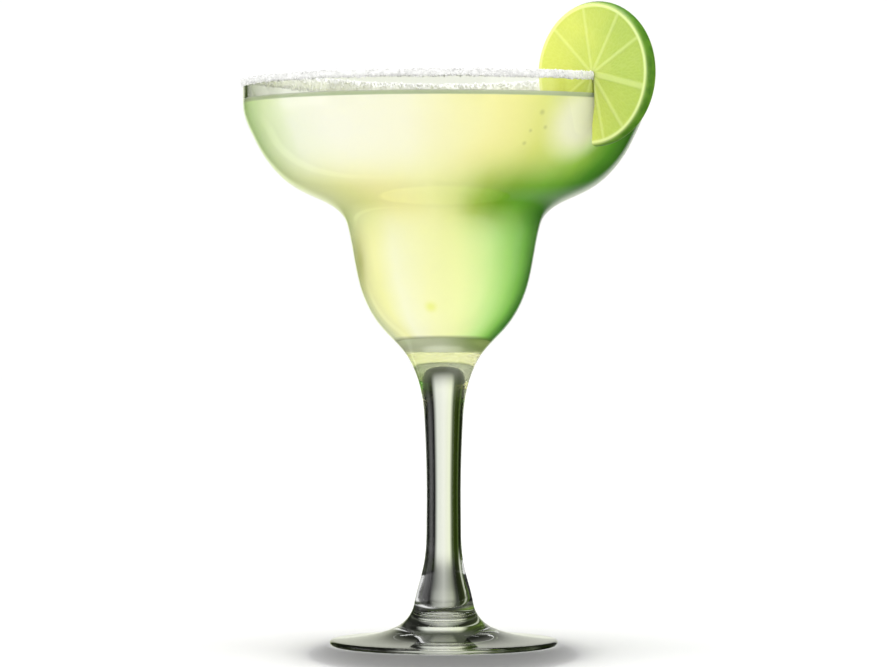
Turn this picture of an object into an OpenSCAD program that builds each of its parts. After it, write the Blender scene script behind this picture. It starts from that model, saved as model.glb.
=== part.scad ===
// Margarita in a stemmed glass with a stepped bowl.
// The glass is one solid of revolution round Z: foot, stem, narrow cup and wide bowl.
// The drink fills the cup and most of the bowl. A crust of salt runs round the rim, and
// a wheel of lime sits astride the rim on its slit, half of it inside the bowl.
// The origin is the centre of the foot's underside.

/* [Glass] */
// Height from the underside of the foot to the rim
glass_h = 163; // [150:1:196]
// Outer diameter of the rim
rim_d = 116; // [96:1:140]
// Thickness of the blown wall
wall = 1.2; // [0.9:0.05:1.5]
// Height of the straight lip below the rim
lip_h = 7; // [4:0.5:9]

/* [Wide bowl] */
// Height of the wide bowl, from the shoulder to the rim
bowl_h = 34.2; // [28:0.2:42]
// Outer diameter of the shoulder, where the wide bowl leaves the cup
shoulder_d = 71.4; // [66:0.2:76]
// Rise of the fillet between the cup's side and the shoulder
fillet_h = 6.8; // [5:0.2:8]

/* [Cup] */
// Height of the cup, from its base to the shoulder
cup_h = 37.4; // [31:0.2:45]
// Outer diameter at the top of the cup
cup_d = 56; // [50:1:60]
// Outer diameter at the base of the cup
cup_base_d = 35; // [30:1:40]
// Diameter of the nearly flat floor inside the cup
floor_d = 22; // [18:0.5:24]
// How far the middle of that floor lies below the cup's base
floor_drop = 2.4; // [1.6:0.2:5]

/* [Stem] */
// Diameter at the waist of the stem
stem_d = 10; // [8.5:0.5:12]
// Height of the waist above the table
waist_h = 38; // [32:1:46]
// Height over which the stem widens into the cup
flare_h = 25.4; // [21:0.2:30]
// Diameter half way up that flare, where it turns outwards
flare_d = 20; // [17:0.5:23]

/* [Foot] */
// Diameter of the foot
foot_d = 66; // [56:1:80]
// Thickness of the foot at its rounded edge
edge_t = 1.6; // [1.2:0.1:2]
// Diameter of the hub, where the top of the foot starts to rise
hub_d = 28; // [24:1:33]
// Height of the top of the foot at the hub
hub_h = 5.1; // [4.2:0.1:6]
// Diameter of the collar, where the foot turns into the stem
collar_d = 17.2; // [14.4:0.2:20.6]
// Height of the collar
collar_h = 12; // [10:0.5:14]

/* [Drink] */
// Depth of the free space between the drink and the rim
headspace = 6.4; // [5.2:0.2:10]

/* [Salt] */
// Thickness of the crust on the wall and on top of the rim
salt_t = 0.9; // [0.6:0.05:1.2]
// How far the crust reaches down from the rim
salt_h = 2.7; // [1.8:0.1:3.6]

/* [Lime] */
// Diameter of the wheel
lime_d = 40.5; // [34:0.5:49]
// Thickness of the wheel
lime_t = 4; // [3:0.1:5]
// How much the rind bulges past the cut faces
rind_bulge = 0.5; // [0.2:0.1:1]
// Direction of the wheel, seen from above, from +X
lime_turn = -42; // [-90:1:90]
// Gap at the top of the slit, between its outer edge and the glass
slit_gap = 0.2; // [0.15:0.05:1]
// Length of the slit's straight part, past the lip
slit_straight = 9; // [9:0.5:12]
// Lean of the slit's outer edge below that
slit_lean = 9; // [0:0.5:10]

/* [Hidden] */

// Clearance of the drink and the salt to the glass
fit = 0.05;
// Clearance of the lime to what it touches
lime_fit = 0.1;
// Straight steps in each bend of an outline
bend_steps = 8;
// Steps in a rounded lip, edge or crust
round_steps = 24;
// More than any part reaches, for cutting
beyond = 100;
$fn = 96;

rim_r = rim_d / 2;
edge_r = edge_t / 2;
shoulder_z = glass_h - bowl_h;
cup_base_z = shoulder_z - cup_h;
floor_z = cup_base_z - floor_drop;
level_z = glass_h - headspace;
wall_mid_r = rim_r - wall / 2;

// A station on an outline: radius, height and heading, 0 outwards and 90 upwards.
foot_stations = [
    [foot_d / 2 - edge_r, 0, 0],
    [foot_d / 2, edge_r, 90],
    [foot_d / 2 - edge_r, edge_t, 176],
    [hub_d / 2, hub_h, 155],
    [collar_d / 2, collar_h, 99],
];
stem_stations = [
    [stem_d / 2 + 0.7, mix(collar_h, waist_h, 0.46), 100],
    [stem_d / 2, waist_h, 91],
    [stem_d / 2 + 0.6, cup_base_z - flare_h, 87],
    [flare_d / 2, cup_base_z - 0.34 * flare_h, 60],
    [cup_base_d / 2, cup_base_z, 48],
];
belly_station = [
    mix(cup_base_d, cup_d, 0.64) / 2,
    mix(cup_base_z, shoulder_z - fillet_h, 0.41),
    74,
];
bowl_stations = [
    [cup_d / 2, shoulder_z - fillet_h, 74],
    [shoulder_d / 2, shoulder_z, 24],
    [mix(shoulder_d, rim_d, 0.42) / 2, mix(shoulder_z, glass_h, 0.146), 38],
    [mix(shoulder_d, rim_d, 0.83) / 2, mix(shoulder_z, glass_h, 0.485), 64],
    [rim_r, glass_h - lip_h, 88],
];
wall_stations = concat([belly_station], bowl_stations);
outer_stations = concat(foot_stations, stem_stations, wall_stations);

function mix(a, b, share) = a + (b - a) * share;
function direction(angle) = [cos(angle), sin(angle)];
function spot(station) = [station[0], station[1]];
function turned(v) = [v[1], -v[0]] / norm(v);

// Point at share t of the bend from station a to station b, moved out by grow.
function bend_point(a, b, t, grow) =
    let (
        reach = norm(spot(b) - spot(a)),
        out_a = reach * direction(a[2]),
        out_b = reach * direction(b[2]),
        place = (2 * t ^ 3 - 3 * t ^ 2 + 1) * spot(a)
            + (t ^ 3 - 2 * t ^ 2 + t) * out_a
            + (3 * t ^ 2 - 2 * t ^ 3) * spot(b)
            + (t ^ 3 - t ^ 2) * out_b,
        slope = (6 * t ^ 2 - 6 * t) * (spot(a) - spot(b))
            + (3 * t ^ 2 - 4 * t + 1) * out_a
            + (3 * t ^ 2 - 2 * t) * out_b
    )
    place + grow * turned(slope);

// Outline through all the stations, moved out by grow.
function outline(stations, grow) = [
    for (i = [0 : len(stations) - 2])
        for (k = [0 : bend_steps - (i < len(stations) - 2 ? 1 : 0)])
            bend_point(stations[i], stations[i + 1], k / bend_steps, grow)
];

function arc(centre, radius, from, to) = [
    for (k = [0 : round_steps])
        centre + radius * direction(mix(from, to, k / round_steps))
];

function backwards(points) = [for (i = [len(points) - 1 : -1 : 0]) points[i]];

// Inside of the glass from the middle of the floor to the lip, moved in by gap.
function inside(gap) =
    let (
        belly = bend_point(wall_stations[0], wall_stations[1], 0, -wall),
        floor_stations = [
            [0, floor_z, 0],
            [floor_d / 2, floor_z + 1.3, 24],
            [belly[0], belly[1], belly_station[2]],
        ],
        floor_line = outline(floor_stations, -gap)
    )
    concat(
        [[0, floor_z + gap]],
        [for (i = [1 : len(floor_line) - 2]) floor_line[i]],
        outline(wall_stations, -wall - gap)
    );

// Section of the wall from the belly of the cup to the rim, grown by gap all round.
module wall_section(gap) {
    lip = arc([wall_mid_r, glass_h - wall / 2], wall / 2 + gap, 0, 180);
    polygon(concat(
        outline(wall_stations, gap),
        lip,
        backwards(outline(wall_stations, -wall - gap))
    ));
}

module glass() {
    lip = arc([wall_mid_r, glass_h - wall / 2], wall / 2, 0, 180);
    color([0.86, 0.9, 0.88, 0.35])
        rotate_extrude()
            polygon(concat([[0, 0]], outline(outer_stations, 0), lip, backwards(inside(0))));
}

// The drink fills the inside up to its level, and is cut round the lime.
module drink() {
    color([0.9, 0.93, 0.6])
        difference() {
            rotate_extrude()
                intersection() {
                    polygon(concat(inside(fit), [[rim_r - wall - fit, glass_h], [0, glass_h]]));
                    square([beyond, level_z]);
                }
            lime_place()
                lime_wheel(lime_fit);
        }
}

// The crust is an oval bead round the rim, open where the lime sits.
module salt_rim() {
    half_w = wall / 2 + salt_t;
    // The bead dies out where its half width falls to half the wall.
    foot_share = sqrt(1 - (wall / 2 / half_w) ^ 2);
    half_h = (salt_h + salt_t) / (1 + foot_share);
    middle = [wall_mid_r, glass_h + salt_t - half_h];
    color([0.93, 0.93, 0.92])
        difference() {
            rotate_extrude()
                difference() {
                    polygon([
                        for (k = [1 : 2 * round_steps])
                            let (round = direction(180 * k / round_steps))
                            middle + [half_w * round[0], half_h * round[1]]
                    ]);
                    wall_section(fit);
                }
            rotate([0, 0, lime_turn])
                translate([0, -lime_t / 2 - lime_fit, glass_h - beyond / 2])
                    cube([beyond, lime_t + 2 * lime_fit, beyond]);
        }
}

// Moves a wheel that lies flat at the origin to its place astride the rim.
module lime_place() {
    rotate([0, 0, lime_turn])
        translate([wall_mid_r, 0, glass_h])
            rotate([90, 0, 0])
                children();
}

// The wheel lies flat, with a barrel-shaped rind.
module lime_wheel(gap) {
    rind = [
        for (k = [0 : 2 * bend_steps])
            let (across = k / bend_steps - 1)
            [
                lime_d / 2 + gap - rind_bulge * across ^ 2,
                across * (lime_t / 2 + gap)
            ]
    ];
    rotate_extrude()
        polygon(concat([[0, -lime_t / 2 - gap]], rind, [[0, lime_t / 2 + gap]]));
}

// The slit, drawn in the plane of the wheel, runs down from the middle. Its inner edge
// follows the wall. Its outer edge is straight past the lip, and leans inwards below.
module lime_slit() {
    slit_r = rim_r + slit_gap;
    bend_z = glass_h - slit_straight;
    slit_end = [slit_r - lime_d * tan(slit_lean), bend_z - lime_d];
    rotate([90, 0, lime_turn])
        linear_extrude(2 * lime_t, center = true)
            polygon(concat(
                [slit_end, [slit_r, bend_z], [slit_r, glass_h - wall / 2]],
                arc([wall_mid_r, glass_h - wall / 2], wall / 2 + lime_fit, 0, 180),
                backwards(outline(bowl_stations, -wall - lime_fit))
            ));
}

module lime_slice() {
    color([0.72, 0.85, 0.32])
        difference() {
            lime_place()
                lime_wheel(0);
            lime_slit();
        }
}

glass();
drink();
salt_rim();
lime_slice();
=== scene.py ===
"""Looks of a margarita: a stemmed glass, its cloudy drink, a salted rim and a wheel of lime."""

import math

import bpy
import numpy as np
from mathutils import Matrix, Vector


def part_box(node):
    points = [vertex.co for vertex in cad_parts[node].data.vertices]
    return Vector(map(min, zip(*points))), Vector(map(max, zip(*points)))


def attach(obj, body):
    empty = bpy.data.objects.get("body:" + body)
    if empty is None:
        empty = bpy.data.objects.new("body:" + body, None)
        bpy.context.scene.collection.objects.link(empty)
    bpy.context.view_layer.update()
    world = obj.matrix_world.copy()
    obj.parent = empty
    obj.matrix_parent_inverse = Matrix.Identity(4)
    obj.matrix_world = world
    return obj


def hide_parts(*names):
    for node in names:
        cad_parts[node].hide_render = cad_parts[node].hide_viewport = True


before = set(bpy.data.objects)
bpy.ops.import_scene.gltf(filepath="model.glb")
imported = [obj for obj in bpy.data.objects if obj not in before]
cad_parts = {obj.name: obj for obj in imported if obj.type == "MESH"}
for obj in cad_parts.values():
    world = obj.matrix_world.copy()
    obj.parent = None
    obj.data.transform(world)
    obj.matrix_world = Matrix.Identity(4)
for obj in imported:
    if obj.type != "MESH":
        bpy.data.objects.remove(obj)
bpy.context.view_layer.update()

MM = 0.001
SEED = 7

# Driving sizes from the frame, in metres.
GLASS_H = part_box("glass")[1].z
RIM_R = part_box("glass")[1].x
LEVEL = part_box("drink")[1].z
LIME_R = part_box("lime_slice")[1].z - GLASS_H
CRUST_DROP = GLASS_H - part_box("salt_rim")[0].z
LIME_TURN = math.radians(-42)

# ---------------------------------------------------------------- outlines


def meridian(node):
    """Outline of a turned CAD node, read from the vertices on its +X seam."""
    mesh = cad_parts[node].data
    places = [tuple(round(c, 6) for c in v.co) for v in mesh.vertices]
    links = {p: set() for p in places if abs(p[1]) < 1e-6 and p[0] > -1e-6}
    for edge in mesh.edges:
        a, b = (places[i] for i in edge.vertices)
        if a in links and b in links and a != b:
            links[a].add(b)
            links[b].add(a)
    here = min((p for p in links if len(links[p]) == 1), key=lambda p: p[2])
    line = [here]
    while True:
        ahead = [p for p in links[here] if p not in line[-2:]]
        if not ahead:
            return np.array([(p[0], p[2]) for p in line])
        here = ahead[0]
        line.append(here)


def offset(line, distance):
    """Moves an outline to the right of its direction."""
    slope = np.gradient(line, axis=0)
    slope /= np.linalg.norm(slope, axis=1)[:, None]
    return line + distance * np.column_stack([slope[:, 1], -slope[:, 0]])


OUTLINE = meridian("glass")
LIP = int(np.argmax(OUTLINE[:, 1]))
INSIDE = OUTLINE[LIP:][::-1]
WALL_IN_R = INSIDE[INSIDE[:, 1] < GLASS_H - 2 * MM][-1, 0]
WALL = RIM_R - WALL_IN_R
WALL_MID_R = RIM_R - WALL / 2


def inside_radius(z):
    """Inner radius of the bowl at a height."""
    return np.interp(z, INSIDE[:, 1], INSIDE[:, 0])


# ---------------------------------------------------------------- noise


def smooth(low, high, value):
    share = np.clip((value - low) / (high - low), 0, 1)
    return share * share * (3 - 2 * share)


def ripples(angle, count, seed, waves=9):
    """Uneven wave round a ring, between about -1 and 1."""
    rng = np.random.default_rng(seed)
    total = np.zeros_like(angle)
    for _ in range(waves):
        turns = rng.integers(count // 3, count * 2)
        total += np.sin(turns * angle + rng.uniform(0, 2 * math.pi)) * rng.uniform(0.4, 1)
    return total / math.sqrt(waves)


# ---------------------------------------------------------------- meshes


def piece(name, verts, faces, slot, material, smooth_shade=True):
    mesh = bpy.data.meshes.new(name)
    mesh.from_pydata(np.asarray(verts).tolist(), [], [tuple(map(int, f)) for f in faces])
    mesh.validate()
    mesh.polygons.foreach_set("use_smooth", [smooth_shade] * len(mesh.polygons))
    obj = bpy.data.objects.new(name, mesh)
    bpy.context.scene.collection.objects.link(obj)
    mesh.materials.append(material)
    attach(obj, "root")
    return obj


def grid_faces(rows, columns, wrap):
    """Quads of a grid of points, whose columns may close round."""
    last = columns if wrap else columns - 1
    return [
        (r * columns + c, r * columns + (c + 1) % columns,
         (r + 1) * columns + (c + 1) % columns, (r + 1) * columns + c)
        for r in range(rows - 1)
        for c in range(last)
    ]


def turned(line, columns=160):
    """Solid of revolution of an outline that starts and ends on the axis."""
    angle = np.linspace(0, 2 * math.pi, columns, endpoint=False)
    ring = line[1:-1]
    verts = np.stack([
        np.outer(ring[:, 0], np.cos(angle)),
        np.outer(ring[:, 0], np.sin(angle)),
        np.repeat(ring[:, 1:], columns, axis=1),
    ], axis=-1).reshape(-1, 3)
    faces = grid_faces(len(ring), columns, True)
    first, last = len(verts), len(verts) + 1
    verts = np.vstack([verts, (0, 0, line[0, 1]), (0, 0, line[-1, 1])])
    top = (len(ring) - 1) * columns
    for c in range(columns):
        n = (c + 1) % columns
        faces.append((first, n, c))
        faces.append((last, top + c, top + n))
    return verts, faces


# ---------------------------------------------------------------- materials


class Nodes:
    """Short ways to write a node tree.

    In add, a value is named by its socket, or as i0, i1 by the socket's number. A name that
    starts with an underscore is a setting of the node.
    """

    def __init__(self, tree):
        self.tree = tree
        tree.nodes.clear()

    def add(self, kind, out=0, **values):
        node = self.tree.nodes.new(kind)
        for key, value in values.items():
            if key.startswith("_"):
                setattr(node, key[1:], value)
        for key, value in values.items():
            if not key.startswith("_"):
                by_number = key[0] == "i" and key[1:].isdigit()
                name = int(key[1:]) if by_number else key.replace("__", " ")
                self.set(node.inputs[name], value)
        return node.outputs[out]

    def set(self, socket, value):
        if isinstance(value, bpy.types.NodeSocket):
            self.tree.links.new(value, socket)
        else:
            socket.default_value = value

    def math(self, operation, a, b=0.0):
        return self.add("ShaderNodeMath", _operation=operation, i0=a, i1=b)

    def parts(self, vector):
        node = self.tree.nodes.new("ShaderNodeSeparateXYZ")
        self.set(node.inputs[0], vector)
        return node.outputs

    def ramp(self, value, low, high, to_low=0.0, to_high=1.0):
        """Smooth step between two values."""
        return self.add("ShaderNodeMapRange", _interpolation_type="SMOOTHSTEP",
                        i0=value, i1=low, i2=high, i3=to_low, i4=to_high)

    def tones(self, value, low, high, stops):
        """Colour ramp over a range, with its stops given in that range."""
        share = self.add("ShaderNodeMapRange", i0=value, i1=low, i2=high)
        node = self.tree.nodes.new("ShaderNodeValToRGB")
        self.set(node.inputs[0], share)
        line = node.color_ramp.elements
        while len(line) < len(stops):
            line.new(0.5)
        for element, (place, colour) in zip(line, stops):
            element.position = (place - low) / (high - low)
        for element, (place, colour) in zip(line, stops):
            element.color = rgb(*colour)
        return node.outputs[0]

    def mix(self, share, a, b):
        node = self.tree.nodes.new("ShaderNodeMix")
        node.data_type = "RGBA"
        self.set(node.inputs[0], share)
        self.set(node.inputs[6], a)
        self.set(node.inputs[7], b)
        return node.outputs[2]


def rgb(*parts):
    """Linear colour from 0-255 screen values."""
    linear = [((p / 255 + 0.055) / 1.055) ** 2.4 if p > 10 else p / 255 / 12.92 for p in parts]
    return (*linear, 1.0)


def new_material(name):
    material = bpy.data.materials.new(name)
    material.use_nodes = True
    return material, Nodes(material.node_tree)


def finish_material(nodes, shader):
    out = nodes.tree.nodes.new("ShaderNodeOutputMaterial")
    nodes.tree.links.new(shader, out.inputs["Surface"])


def glass_material():
    material, n = new_material("clear_glass")
    place = n.add("ShaderNodeTexCoord", out="Object")
    smear = n.add("ShaderNodeTexNoise", Vector=place, Scale=60.0, Detail=2.0)
    shader = n.add("ShaderNodeBsdfPrincipled", Base__Color=(0.985, 0.992, 0.985, 1), IOR=1.5,
                   Transmission__Weight=1.0, Roughness=n.ramp(smear, 0.5, 0.8, 0.0, 0.02))
    finish_material(n, shader)
    return material


# Colour of the drink by how far it faces +X, from -1 to 1, as screen values, with painted light and
# shade: painted light makes it pale where it faces -X, and painted shade turns it dark green where it
# faces +X.
BOWL_LIGHT_SHADE_TONES = [
    (-1.0, (204, 228, 164)),
    (-0.9, (228, 239, 196)),
    (-0.78, (246, 250, 230)),
    (-0.6, (254, 253, 234)),
    (-0.2, (255, 252, 226)),
    (0.07, (252, 247, 200)),
    (0.22, (249, 244, 182)),
    (0.36, (244, 241, 168)),
    (0.5, (233, 235, 148)),
    (0.62, (222, 231, 138)),
    (0.75, (182, 215, 96)),
    (0.87, (104, 168, 52)),
    (1.0, (58, 118, 32)),
]
SHOULDER_LIGHT_SHADE_TONES = [
    (-1.0, (220, 226, 166)),
    (-0.87, (228, 232, 174)),
    (-0.67, (236, 237, 168)),
    (-0.48, (244, 240, 176)),
    (-0.29, (244, 241, 178)),
    (-0.1, (242, 243, 180)),
    (0.1, (226, 232, 158)),
    (0.29, (174, 200, 84)),
    (0.48, (130, 180, 48)),
    (0.67, (120, 184, 58)),
    (0.87, (88, 152, 48)),
    (1.0, (52, 108, 30)),
]
CUP_LIGHT_SHADE_TONES = [
    (-1.0, (230, 236, 190)),
    (-0.9, (240, 240, 186)),
    (-0.76, (247, 246, 186)),
    (-0.55, (254, 254, 220)),
    (-0.2, (252, 253, 200)),
    (0.15, (246, 253, 188)),
    (0.43, (230, 247, 174)),
    (0.6, (212, 242, 160)),
    (0.75, (186, 230, 134)),
    (0.88, (146, 206, 98)),
    (1.0, (74, 138, 48)),
]
# Height and spread of the band of painted shade round the shoulder, where the drink turns darker green.
SHOULDER_Z = 0.1295
SHOULDER_SPREAD = 0.008
# Heights between which the painted shade of the underside gives way to the side's tones.
UNDER_Z = (0.0899, 0.0911)
# Pale line round the edge of the surface: where it starts and where it is full, from the wall.
LINE_START = 0.0035
LINE_FULL = 0.001
# Painted pool of light beside the lime, painted dark reflection in the cup and a fleck of pulp.
LIGHT_POOL_AT = (0.0385, -0.0405, 0.150)
DARK_REFLECTION_SIDE = -0.94
DARK_REFLECTION_Z = 0.111
FLECK_AT = (-0.0035, -0.0195, 0.0985)
# Small specks on the front wall: x, z and radius.
SPECKS = [
    (0.0270, 0.1520, 0.0006),
    (0.0279, 0.1480, 0.0005),
    (0.0238, 0.1470, 0.0004),
    (0.0221, 0.1436, 0.0005),
]


def bell(n, value, middle, spread):
    """Weight that falls off smoothly on both sides of a middle value."""
    away = n.math("DIVIDE", n.math("SUBTRACT", value, middle), spread)
    return n.math("EXPONENT", n.math("MULTIPLY", n.math("MULTIPLY", away, away), -1.0))


def spot(n, place, centre, low, high, weight):
    """Weight round a point, full within low and gone at high."""
    away = n.add("ShaderNodeVectorMath", out="Value", _operation="DISTANCE", i0=place, i1=centre)
    return n.ramp(away, low, high, weight, 0.0)


def drink_side(n, place, z, swirl):
    """Colour of the drink through the wall, with painted light and shade by which way it faces."""
    side = n.add("ShaderNodeAttribute", out="Fac", _attribute_name="side")
    side = n.math("ADD", side, n.math("MULTIPLY", n.math("SUBTRACT", swirl, 0.5), 0.2))
    upper = n.tones(side, -1.0, 1.0, BOWL_LIGHT_SHADE_TONES)
    middle = n.tones(side, -1.0, 1.0, SHOULDER_LIGHT_SHADE_TONES)
    lower = n.tones(side, -1.0, 1.0, CUP_LIGHT_SHADE_TONES)
    body = n.mix(n.ramp(z, SHOULDER_Z - 0.012, SHOULDER_Z + 0.004), lower, upper)
    body = n.mix(bell(n, z, SHOULDER_Z, SHOULDER_SPREAD), body, middle)
    # Painted shade on the drink's underside: grey, turning olive green towards +X.
    under = n.mix(n.ramp(n.parts(place)[0], -0.003, 0.012), rgb(124, 130, 108), rgb(84, 104, 44))
    body = n.mix(n.ramp(z, *UNDER_Z), under, body)
    # Painted dark reflection in the cup, on its -X side.
    dark_reflection = n.math("MULTIPLY", bell(n, side, DARK_REFLECTION_SIDE, 0.05), bell(n, z, DARK_REFLECTION_Z, 0.007))
    body = n.mix(n.math("MULTIPLY", dark_reflection, 0.6), body, rgb(176, 178, 96))
    # Painted pool of light beside the lime.
    body = n.mix(spot(n, place, LIGHT_POOL_AT, 0.0045, 0.0155, 1.0), body, rgb(255, 255, 224))
    body = n.mix(spot(n, place, FLECK_AT, 0.0004, 0.0026, 0.6), body, rgb(232, 238, 104))
    for x, height, radius in SPECKS:
        reach = inside_radius(height)
        centre = (x, -math.sqrt(reach * reach - x * x), height)
        speck = spot(n, place, centre, 0.2 * radius, 2.0 * radius, 0.3)
        body = n.mix(speck, body, rgb(150, 156, 104))
    return body


def drink_surface(n, place, swirl):
    """Colour of the drink's top, painted darker than its sides as shade against the stronger light from
    above, with its pale edge.
    """
    flat = n.add("ShaderNodeVectorMath", _operation="MULTIPLY", i0=place, i1=(1, 1, 0))
    radius = n.add("ShaderNodeVectorMath", out="Value", _operation="LENGTH", i0=flat)
    edge = float(inside_radius(LEVEL))
    # Painted shade: the top is darker than the sides to offset the light from above.
    shaded_top = n.mix(n.ramp(swirl, 0.4, 0.65), rgb(184, 187, 134), rgb(172, 177, 120))
    return n.mix(n.ramp(radius, edge - LINE_START, edge - LINE_FULL), shaded_top, rgb(190, 202, 170))


def drink_material():
    material, n = new_material("cloudy_drink")
    place = n.add("ShaderNodeTexCoord", out="Object")
    z = n.parts(place)[2]
    swirl = n.add("ShaderNodeTexNoise", Vector=place, Scale=30.0, Detail=3.0, Distortion=0.2)
    body = drink_side(n, place, z, swirl)
    surface = drink_surface(n, place, swirl)
    colour = n.mix(n.ramp(z, LEVEL - 0.0003, LEVEL + 0.0001), body, surface)
    shader = n.add("ShaderNodeBsdfPrincipled", Base__Color=colour, Roughness=0.3, IOR=1.34,
                   Subsurface__Weight=0.6, Subsurface__Scale=0.003, Subsurface__Radius=(1.0, 1.0, 0.8),
                   Specular__IOR__Level=0.1)
    finish_material(n, shader)
    return material


def underside_material():
    """Underside of the drink, slightly mirroring, as the real glass makes it look; its grey, darkening
    to olive green towards +X, is painted shade.
    """
    material, n = new_material("drink_underside")
    place = n.add("ShaderNodeTexCoord", out="Object")
    tone = n.add("ShaderNodeTexNoise", Vector=place, Scale=90.0)
    left = n.mix(tone, rgb(188, 194, 158), rgb(206, 212, 178))
    # Painted shade: olive green towards +X.
    shade = n.mix(n.ramp(n.parts(place)[0], -0.002, 0.009), left, rgb(140, 162, 88))
    shader = n.add("ShaderNodeBsdfPrincipled", Metallic=0.15, Roughness=0.2, Base__Color=shade)
    finish_material(n, shader)
    return material


def salt_material():
    material, n = new_material("salt")
    place = n.add("ShaderNodeTexCoord", out="Object")
    tone = n.add("ShaderNodeTexNoise", Vector=place, Scale=500.0, Detail=2.0)
    shade = n.mix(n.ramp(tone, 0.35, 0.65), rgb(218, 218, 216), rgb(232, 232, 230))
    shader = n.add("ShaderNodeBsdfPrincipled", Base__Color=shade, Roughness=0.5, IOR=1.54,
                   Subsurface__Weight=0.3, Subsurface__Scale=0.0006, Subsurface__Radius=(1.0, 1.0, 1.0),
                   Specular__IOR__Level=0.3)
    finish_material(n, shader)
    return material


# Looks that the lime's mesh carries, from 0 to 1: pith, membranes, cell borders and rind.
LIME_LAYERS = ("pith", "web", "cell", "skin")
# Places along X between which the lime goes from yellow-green to green.
LIME_SIDES = (0.028, 0.054)


def lime_material():
    material, n = new_material("lime")
    place = n.add("ShaderNodeTexCoord", out="Object")
    pith, web, cell, skin = (
        n.add("ShaderNodeAttribute", out="Fac", _attribute_name=name) for name in LIME_LAYERS
    )
    grain = n.add("ShaderNodeTexNoise", Vector=place, Scale=420.0, Detail=3.0)
    cloud = n.add("ShaderNodeTexNoise", Vector=place, Scale=90.0, Detail=2.0)
    uneven = n.math("MULTIPLY", n.math("SUBTRACT", cloud, 0.5), 0.012)
    side = n.ramp(n.math("ADD", n.parts(place)[0], uneven), *LIME_SIDES)
    juice = n.mix(side, rgb(207, 213, 98), rgb(166, 187, 82))
    light = n.mix(side, rgb(213, 219, 112), rgb(175, 195, 96))
    pale = n.mix(side, rgb(226, 231, 150), rgb(202, 216, 146))
    ring = n.mix(side, rgb(220, 223, 146), rgb(200, 215, 146))
    lightness = n.math("ADD", n.math("MULTIPLY", cell, 0.5), n.math("MULTIPLY", grain, 0.3))
    flesh = n.mix(lightness, juice, light)
    face = n.mix(n.math("MULTIPLY", web, 0.45), flesh, pale)
    face = n.mix(pith, face, ring)
    rind = n.mix(n.ramp(grain, 0.3, 0.7), rgb(62, 108, 14), rgb(82, 128, 24))
    colour = n.mix(skin, face, rind)
    shader = n.add("ShaderNodeBsdfPrincipled", Base__Color=colour, Roughness=0.45, IOR=1.38,
                   Subsurface__Weight=0.6, Subsurface__Scale=0.003, Subsurface__Radius=(1.0, 1.0, 0.4))
    finish_material(n, shader)
    return material


# ---------------------------------------------------------------- glass and drink


def make_glass():
    line = np.vstack([(0, OUTLINE[0, 1]), OUTLINE])
    obj = piece("glass_body", *turned(line), "glass", glass_material())
    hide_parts("glass")


# How far the drink reaches into the wall.
INTO_WALL = 0.15 * MM
MENISCUS_H = 1.1 * MM
MENISCUS_W = 1.2 * MM
# Radius and height of the underside, which has its own material.
UNDERSIDE_R = 10.5 * MM
UNDERSIDE_H = 4 * MM


def make_drink():
    wall = offset(INSIDE[:-1], INTO_WALL)
    wall = wall[(wall[:, 1] < LEVEL + MENISCUS_H - 0.1 * MM) & (wall[:, 0] > 0)]
    edge_r = inside_radius(LEVEL) + INTO_WALL
    radii = edge_r * (1 - np.linspace(0, 1, 40) ** 2)
    climb = LEVEL + MENISCUS_H * np.exp((radii - edge_r) / MENISCUS_W)
    line = np.vstack([(0, INSIDE[0, 1] - INTO_WALL), wall, np.column_stack([radii, climb])])
    verts, faces = turned(line)
    obj = piece("drink_body", verts, faces, "drink", drink_material())
    across = np.where(verts[:, 2] < LEVEL - 0.01 * MM, np.hypot(verts[:, 0], verts[:, 1]), edge_r)
    side = np.divide(verts[:, 0], across, out=np.zeros(len(verts)), where=across > 1e-6)
    depth = np.divide(verts[:, 1], across, out=np.zeros(len(verts)), where=across > 1e-6)
    # The strongest painted light and shade fade out on the back half.
    behind = smooth(-0.1, 0.8, depth)
    side = side * (1 - behind) + side.clip(-0.7, 0.3) * behind
    # The side attribute drives the drink's painted light and shade.
    layer = obj.data.attributes.new("side", "FLOAT", "POINT")
    layer.data.foreach_set("value", side.astype(np.float32))
    obj.data.materials.append(underside_material())
    for polygon in obj.data.polygons:
        centre = polygon.center
        if centre.z < INSIDE[0, 1] + UNDERSIDE_H and math.hypot(centre.x, centre.y) < UNDERSIDE_R:
            polygon.material_index = 1
    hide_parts("drink")


# ---------------------------------------------------------------- salt

# Half of the turn that the crust leaves open for the lime.
LIME_GAP = 2.3 * MM / WALL_MID_R
# Height of the middle of the crust, its reach below and above that, and half its width.
CRUST_Z = GLASS_H - 0.2 * MM
CRUST_DEPTH = 0.58 * CRUST_DROP
CRUST_RISE = 0.75 * MM
CRUST_HALF_W = WALL / 2 + 0.55 * MM
GRAINS = 12000
# Usual, smallest and largest width of a grain, in millimetres.
GRAIN_MM = 0.24
GRAIN_LIMITS_MM = (0.12, 0.5)


def make_crust(material):
    """Lumpy ring of salt; also returns how deep it reaches at each turn."""
    rows, columns = 28, 900
    angle = LIME_TURN + np.linspace(LIME_GAP, 2 * math.pi - LIME_GAP, columns)
    turn = np.linspace(-0.42 * math.pi, 1.42 * math.pi, rows)[:, None]
    uneven = 0.06 * ripples(angle, 14, SEED) + 0.04 * ripples(angle, 90, SEED + 1)
    depth = CRUST_DEPTH * (0.93 + uneven).clip(0.75, 1.3)
    lump = 1 + 0.12 * ripples(angle, 160, SEED + 2) * np.cos(3 * turn)
    lump = lump + 0.08 * ripples(angle, 300, SEED + 3)
    rise = np.sin(turn)
    z = CRUST_Z + np.where(rise > 0, CRUST_RISE * rise * lump, depth * rise)
    r = WALL_MID_R + CRUST_HALF_W * np.cos(turn) * lump
    verts = np.stack([r * np.cos(angle), r * np.sin(angle), z], axis=-1).reshape(-1, 3)
    crust = piece("salt_crust", verts, grid_faces(rows, columns, False), "salt", material)
    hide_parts("salt_rim")
    return angle, depth


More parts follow.
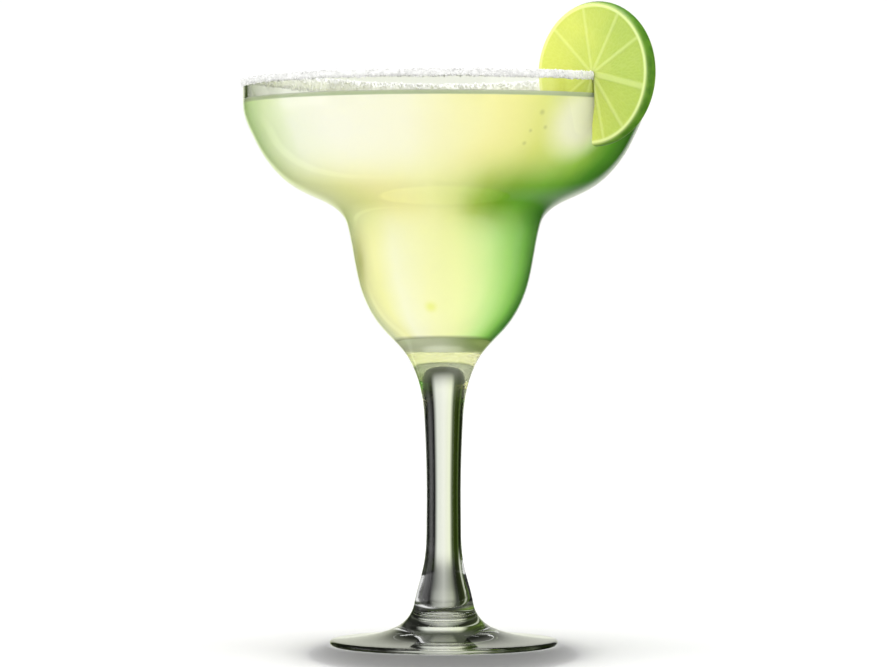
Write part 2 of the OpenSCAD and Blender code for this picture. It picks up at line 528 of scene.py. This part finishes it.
def make_grains(material, angle, depth):
    """Loose grains all over the crust, as one mesh."""
    rng = np.random.default_rng(SEED)
    a = LIME_TURN + rng.uniform(LIME_GAP, 2 * math.pi - LIME_GAP, GRAINS)
    t = rng.uniform(-0.5, 1.5, GRAINS) * math.pi
    rise = np.sin(t)
    z = CRUST_Z + np.where(rise > 0, CRUST_RISE * rise, np.interp(a, angle, depth) * rise)
    thick = np.where(rise > 0, 1.0, 1 + 0.3 * rise)
    out = WALL / 2 + (CRUST_HALF_W - WALL / 2) * thick
    r = WALL_MID_R + np.sign(np.cos(t)) * out * np.abs(np.cos(t)) ** 0.3
    centre = np.column_stack([r * np.cos(a), r * np.sin(a), z])
    size = rng.lognormal(math.log(GRAIN_MM), 0.3, GRAINS).clip(*GRAIN_LIMITS_MM) * MM
    corners = np.array([(i, j, k) for i in (-1, 1) for j in (-1, 1) for k in (-1, 1)]) / 2
    shape = corners[None] * rng.uniform(0.7, 1.3, (GRAINS, 1, 3)) * size[:, None, None]
    # Each grain is turned by its own set of three square axes.
    axes = np.linalg.qr(rng.normal(size=(GRAINS, 3, 3)))[0]
    axes *= np.sign(np.linalg.det(axes))[:, None, None]
    verts = (np.einsum("nij,nkj->nki", axes, shape) + centre[:, None]).reshape(-1, 3)
    quads = [(0, 1, 3, 2), (4, 6, 7, 5), (0, 4, 5, 1), (2, 3, 7, 6), (0, 2, 6, 4), (1, 5, 7, 3)]
    faces = (np.array(quads)[None] + 8 * np.arange(GRAINS)[:, None, None]).reshape(-1, 4)
    piece("salt_grains", verts, faces, "salt", material, smooth_shade=False)


def make_salt():
    material = salt_material()
    make_grains(material, *make_crust(material))


# ---------------------------------------------------------------- lime

# Directions of the membranes between the segments.
SEGMENT_TURNS = np.radians([30, 60, 100, 137, 175, 212, 249, 283, 306, 347])
# Half widths of those membranes.
MEMBRANES = np.array([0.25, 0.25, 0.2, 0.25, 0.2, 0.2, 0.2, 0.2, 0.25, 0.65]) * MM
LIME_T = 4 * MM
# Hole at the middle, and the pale core round it.
HOLE_R = 0.75 * MM
CORE_R = 1.1 * MM
RIND_T = 0.5 * MM
PITH_T = 0.6 * MM
RIND_BULGE = 0.5 * MM
RIND_ROWS = 10
PORES = 0.04 * MM
FACE_R = LIME_R - RIND_BULGE
# How far the pulp sinks below the cut, how much less at the cell borders, and how far the
# edge of the rind rounds off.
PULP_SUNK = 0.14 * MM
CELL_RELIEF = 0.04 * MM
RIND_ROUND = 0.12 * MM
# How green the edge of the rind is where it is palest, from 0 to 1.
SKIN_LEAST = 0.12
# Length of a juice cell, and how many stand side by side in a ring.
CELL_L = 2.6 * MM
CELLS_ROUND = 120
SLIT_GAP = 0.2 * MM
SLIT_STRAIGHT = 9 * MM
SLIT_LEAN = math.radians(9)


def cell_pattern(radius, angle):
    """Distance to the border of long juice cells that point at the middle, in metres."""
    rng = np.random.default_rng(SEED + 5)
    rows = int(LIME_R / CELL_L) + 3
    jitter = rng.uniform(0, 1, (rows, CELLS_ROUND, 2))
    a = radius / CELL_L
    b = (angle / (2 * math.pi)) * CELLS_ROUND
    near = np.full(radius.shape, 1e9)
    second = np.full(radius.shape, 1e9)
    for i in (-1, 0, 1):
        for j in (-2, -1, 0, 1, 2):
            row = np.floor(a).astype(int) + i
            col = np.floor(b).astype(int) + j
            jit = jitter[row % rows, col % CELLS_ROUND]
            da = (a - row - jit[..., 0]) * CELL_L * 0.45
            db = (b - col - jit[..., 1]) * 2 * math.pi / CELLS_ROUND * radius
            dist = np.hypot(da, db)
            second = np.minimum(second, np.maximum(near, dist))
            near = np.minimum(near, dist)
    return second - near


def slit_turn(r, side):
    """Turn from straight down where a circle on the face leaves the slit, on one side."""
    turns = np.linspace(0.0, 1.2, 600)
    if r < 1.05 * HOLE_R:
        return 0.6
    u = WALL_MID_R + side * r * np.sin(turns)
    z = GLASS_H - r * np.cos(turns)
    if side > 0:
        below = np.maximum(0, GLASS_H - SLIT_STRAIGHT - z)
        clear = u >= RIM_R + SLIT_GAP - below * math.tan(SLIT_LEAN)
    else:
        clear = u <= inside_radius(np.minimum(z, GLASS_H - 2 * MM)) - 0.1 * MM
    return turns[np.argmax(clear)] if clear.any() else turns[-1]


def lime_place(u, v, z):
    """Points in the wheel's own plane, turned to its place on the rim."""
    cos_t, sin_t = math.cos(LIME_TURN), math.sin(LIME_TURN)
    return np.stack([u * cos_t - v * sin_t, u * sin_t + v * cos_t, z], axis=-1).reshape(-1, 3)


def wheel_grid():
    """Radius and turn of the points of a face, in rings that stop at the slit."""
    rings, columns = 84, 460
    radius = np.linspace(HOLE_R, FACE_R, rings)
    down = -math.pi / 2
    start = down + np.array([slit_turn(r, 1) for r in radius])[:, None]
    end = down + 2 * math.pi - np.array([slit_turn(r, -1) for r in radius])[:, None]
    angle = start + np.linspace(0, 1, columns) * (end - start)
    return np.repeat(radius[:, None], columns, axis=1), angle


def membrane_gap(radii, angle):
    """Distance to the nearest membrane, negative inside it."""
    nearest = np.full(radii.shape, 1.0)
    for turn, half in zip(SEGMENT_TURNS, MEMBRANES):
        apart = np.abs((angle - turn + math.pi) % (2 * math.pi) - math.pi)
        gap = radii * np.sin(np.minimum(apart, math.pi / 2)) - half
        nearest = np.minimum(nearest, gap)
    return nearest


def face_shape(radii, angle, right):
    """Height of a face over the wheel's middle plane, and its looks."""
    web_gap = membrane_gap(radii, angle)
    out_gap = FACE_R - RIND_T - PITH_T - radii
    web = 1 - smooth(-0.25 * MM, 0.6 * MM, web_gap)
    pith = smooth(-0.15 * MM, 0.2 * MM, -out_gap)
    pulp = smooth(-0.1 * MM, 0.5 * MM, np.minimum(web_gap, np.minimum(out_gap, radii - CORE_R)))
    border = cell_pattern(radii, angle)
    cell = 1 - smooth(0.0, 0.22 * MM, border)
    sunk = pulp * (PULP_SUNK - CELL_RELIEF * smooth(0, 0.5 * MM, border))
    height = LIME_T / 2 - sunk - RIND_ROUND * smooth(FACE_R - 0.4 * MM, FACE_R, radii)
    edge = smooth(FACE_R - (0.7 - 0.25 * right) * MM, FACE_R - 0.05 * MM, radii)
    return height, (pith, web, cell, (SKIN_LEAST + 0.6 * right) * edge)


def rind_shape(turn, right):
    """Rows of points between the two faces that bulge outwards, and how green they are."""
    across = np.linspace(-1, 1, RIND_ROWS + 2)[1:-1, None]
    pores = PORES * ripples(turn, 120, SEED + 8)
    radius = FACE_R + RIND_BULGE * (1 - across ** 2) + pores * (1 - np.abs(across))
    v = across * (LIME_T / 2 - 0.1 * MM) + 0 * radius
    z = GLASS_H + radius * np.sin(turn)
    verts = lime_place(WALL_MID_R + radius * np.cos(turn), v, z)
    inward = smooth(0.0, 0.6, 1 - np.abs(across))
    edge_skin = SKIN_LEAST + 0.7 * right
    return verts, edge_skin + (1 - edge_skin) * inward


def wheel_faces(rings, columns):
    """Faces of the wheel: its two cut faces, its rind, its hole and the walls of its slit."""
    n = rings * columns
    faces = grid_faces(rings, columns, False)
    faces_back = [tuple(reversed([i + n for i in f])) for f in faces]
    top = (rings - 1) * columns
    line = np.arange(columns)
    bands = [2 * n + i * columns + line for i in range(RIND_ROWS)]
    bands = [line + top] + bands + [n + top + line]
    for a, b in zip(bands[:-1], bands[1:]):
        faces += [(a[c], a[c + 1], b[c + 1], b[c]) for c in range(columns - 1)]
    faces += [(c + 1, c, n + c, n + c + 1) for c in range(columns - 1)]
    for r in range(rings - 1):
        a, b = r * columns, (r + 1) * columns
        faces.append((a, b, b + n, a + n))
        a, b = a + columns - 1, b + columns - 1
        faces.append((b, a, a + n, b + n))
    faces += faces_back
    faces.append(tuple(band[0] for band in bands))
    faces.append(tuple(band[-1] for band in reversed(bands)))
    return faces


def make_lime():
    radii, angle = wheel_grid()
    right = smooth(-0.6, 0.6, np.cos(angle))
    height, looks = face_shape(radii, angle, right)
    u = WALL_MID_R + radii * np.cos(angle)
    z = GLASS_H + radii * np.sin(angle)
    rind, rind_skin = rind_shape(angle[-1], right[-1])
    verts = np.vstack([lime_place(u, -height, z), lime_place(u, height, z), rind])
    obj = piece("lime_wheel", verts, wheel_faces(*radii.shape), "lime", lime_material())
    for name, look in zip(LIME_LAYERS, looks):
        on_rind = rind_skin if name == "skin" else np.zeros(len(rind))
        values = np.concatenate([look.ravel(), look.ravel(), on_rind.ravel()])
        layer = obj.data.attributes.new(name, "FLOAT", "POINT")
        layer.data.foreach_set("value", values.astype(np.float32))
    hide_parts("lime_slice")


# ---------------------------------------------------------------- stage

FLOOR_R = 4.0
# Unseen dark oval that deepens the contact shadow round the foot.
SHADE_R = 0.039
SHADE_Z = 0.006
SHADE_STRETCH = 1.7
SHADE_Y = -0.025
SHADE_WEIGHT = 0.74
# Radius of the hole in the middle of a flat disc.
PINHOLE = 0.0001


def flat_disc(name, radius, z, material):
    """Flat disc round the axis."""
    angle = np.linspace(0, 2 * math.pi, 96, endpoint=False)
    verts = [(-r * math.sin(a), r * math.cos(a), z) for r in (radius, PINHOLE) for a in angle]
    mesh = bpy.data.meshes.new(name)
    mesh.from_pydata(verts, [], grid_faces(2, 96, True))
    mesh.materials.append(material)
    obj = bpy.data.objects.new(name, mesh)
    bpy.context.scene.collection.objects.link(obj)
    return obj


def make_floor():
    material, n = new_material("pale_floor")
    place = n.add("ShaderNodeTexCoord", out="Object")
    away = n.add("ShaderNodeVectorMath", out="Value", _operation="LENGTH", i0=place)
    # The floor is painted darker near the glass, as shade set against the lamp's stronger light there,
    # so that it stays white while the shadow round the foot shows.
    tone = n.mix(n.ramp(away, 0.15, 0.6), rgb(224, 224, 224), rgb(253, 253, 253))
    shader = n.add("ShaderNodeBsdfPrincipled", Roughness=0.8, Base__Color=tone, Specular__IOR__Level=0.0)
    finish_material(n, shader)
    floor = flat_disc("floor", FLOOR_R, -0.0001, material)
    floor.visible_transmission = False
    floor.visible_glossy = False


def make_foot_shade():
    material, n = new_material("foot_shade")
    clear = n.add("ShaderNodeBsdfTransparent")
    matt = n.add("ShaderNodeBsdfDiffuse", Color=rgb(30, 30, 30))
    finish_material(n, n.add("ShaderNodeMixShader", i0=SHADE_WEIGHT, i1=clear, i2=matt))
    shade = flat_disc("foot_shade", SHADE_R, SHADE_Z, material)
    shade.scale.y = SHADE_STRETCH
    shade.location.y = SHADE_Y
    shade.visible_camera = False
    shade.visible_glossy = False
    shade.visible_transmission = False


# Studio that glass and gloss see, by direction in degrees from +Y towards -X, as screen
# values: at eye level, and below it.
LEVEL_TONES = [
    (-180, (20, 20, 20)),
    (-160, (20, 20, 20)),
    (-153, (250, 250, 250)),
    (-117, (250, 250, 250)),
    (-110, (20, 20, 20)),
    (-84, (20, 20, 20)),
    (-78, (170, 172, 168)),
    (-70, (150, 152, 148)),
    (-62, (10, 10, 10)),
    (-40, (14, 14, 14)),
    (-33, (60, 60, 58)),
    (-28, (14, 14, 14)),
    (-22, (14, 14, 14)),
    (-14, (232, 236, 224)),
    (0, (250, 252, 238)),
    (13, (240, 246, 214)),
    (19, (60, 76, 24)),
    (34, (34, 46, 10)),
    (40, (70, 92, 26)),
    (47, (22, 30, 8)),
    (62, (22, 30, 8)),
    (70, (150, 160, 130)),
    (76, (250, 250, 250)),
    (106, (250, 250, 250)),
    (114, (20, 20, 20)),
]
LOW_TONES = [
    (-180, (60, 60, 60)),
    (-150, (240, 240, 240)),
    (-120, (240, 240, 240)),
    (-105, (60, 60, 58)),
    (-62, (50, 50, 48)),
    (-45, (24, 24, 24)),
    (-22, (20, 20, 20)),
    (-12, (140, 142, 136)),
    (0, (186, 188, 180)),
    (12, (140, 144, 128)),
    (20, (28, 32, 20)),
    (32, (36, 42, 20)),
    (39, (60, 70, 36)),
    (42, (196, 202, 180)),
    (48, (196, 202, 180)),
    (52, (50, 62, 24)),
    (75, (120, 150, 60)),
    (105, (110, 120, 90)),
    (130, (60, 60, 60)),
]
# Heights in degrees between which the studio turns from one set of tones to the next.
LOW_TO_LEVEL = (-22.0, -8.0)
DEEP_TO_LOW = (-75.0, -45.0)
LEVEL_TO_TOP = (12.0, 32.0)
DEEP_TONE = (62, 66, 54)
TOP_TONE = (84, 88, 76)
# Soft light on matt surfaces, near the horizon and overhead.
DIFFUSE_LEVEL = 1.8
DIFFUSE_TOP = 0.8
BACKDROP = (1.02, 1.02, 1.02, 1)


def make_world():
    world = bpy.data.worlds.new("studio")
    bpy.context.scene.world = world
    world.use_nodes = True
    n = Nodes(world.node_tree)
    way = n.tree.nodes.new("ShaderNodeSeparateXYZ")
    n.set(way.inputs[0], n.add("ShaderNodeTexCoord", out="Generated"))
    x, y, z = way.outputs
    turn = n.math("ARCTAN2", n.math("MULTIPLY", x, -1.0), y)
    turn = n.math("MULTIPLY", turn, 180 / math.pi)
    height = n.math("MULTIPLY", n.math("ARCSINE", z), 180 / math.pi)
    level = n.tones(turn, -180, 180, LEVEL_TONES)
    low = n.tones(turn, -180, 180, LOW_TONES)
    seen = n.mix(n.ramp(height, *LOW_TO_LEVEL), low, level)
    seen = n.mix(n.ramp(height, *DEEP_TO_LOW), rgb(*DEEP_TONE), seen)
    seen = n.mix(n.ramp(height, *LEVEL_TO_TOP), seen, rgb(*TOP_TONE))
    soft = n.math("ADD", n.math("MULTIPLY", x, -0.15), n.math("MULTIPLY", y, -0.25))
    soft = n.math("ADD", soft, n.ramp(z, 0.25, 0.85, DIFFUSE_LEVEL, DIFFUSE_TOP))
    path = n.tree.nodes.new("ShaderNodeLightPath")
    scattered = n.math("GREATER_THAN", path.outputs["Diffuse Depth"], 0.5)
    lit = n.mix(scattered, seen, soft)
    shown = n.mix(path.outputs["Is Camera Ray"], lit, BACKDROP)
    back = n.add("ShaderNodeBackground", Color=shown, Strength=1.0)
    out = n.tree.nodes.new("ShaderNodeOutputWorld")
    n.tree.links.new(back, out.inputs[0])
    world.cycles.sampling_method = "NONE"


LAMP_AT = (0.0, 0.02, 0.75)
LAMP_SIZE = 0.4
LAMP_POWER = 3.0


def make_lamp():
    light = bpy.data.lights.new("top", "AREA")
    light.size = LAMP_SIZE
    light.energy = LAMP_POWER
    obj = bpy.data.objects.new("top", light)
    obj.location = LAMP_AT
    aim = Vector((0, 0, LEVEL / 2))
    obj.rotation_euler = (aim - obj.location).to_track_quat("-Z", "Y").to_euler()
    bpy.context.scene.collection.objects.link(obj)


CAMERA_X = 0.0002
CAMERA_D = 1.15
CAMERA_H = 0.099
LENS = 161
AIM_DOWN = math.radians(0.44)


def make_camera():
    camera = bpy.data.cameras.new("camera")
    camera.lens = LENS
    camera.clip_start = 0.05
    obj = bpy.data.objects.new("camera", camera)
    obj.location = (CAMERA_X, -CAMERA_D, CAMERA_H)
    obj.rotation_euler = (math.pi / 2 - AIM_DOWN, 0, 0)
    bpy.context.scene.collection.objects.link(obj)
    bpy.context.scene.camera = obj


make_camera()
make_glass()
make_drink()
make_salt()
make_lime()
make_floor()
make_foot_shade()
make_world()
make_lamp()
bpy.context.scene.view_settings.view_transform = "Standard"
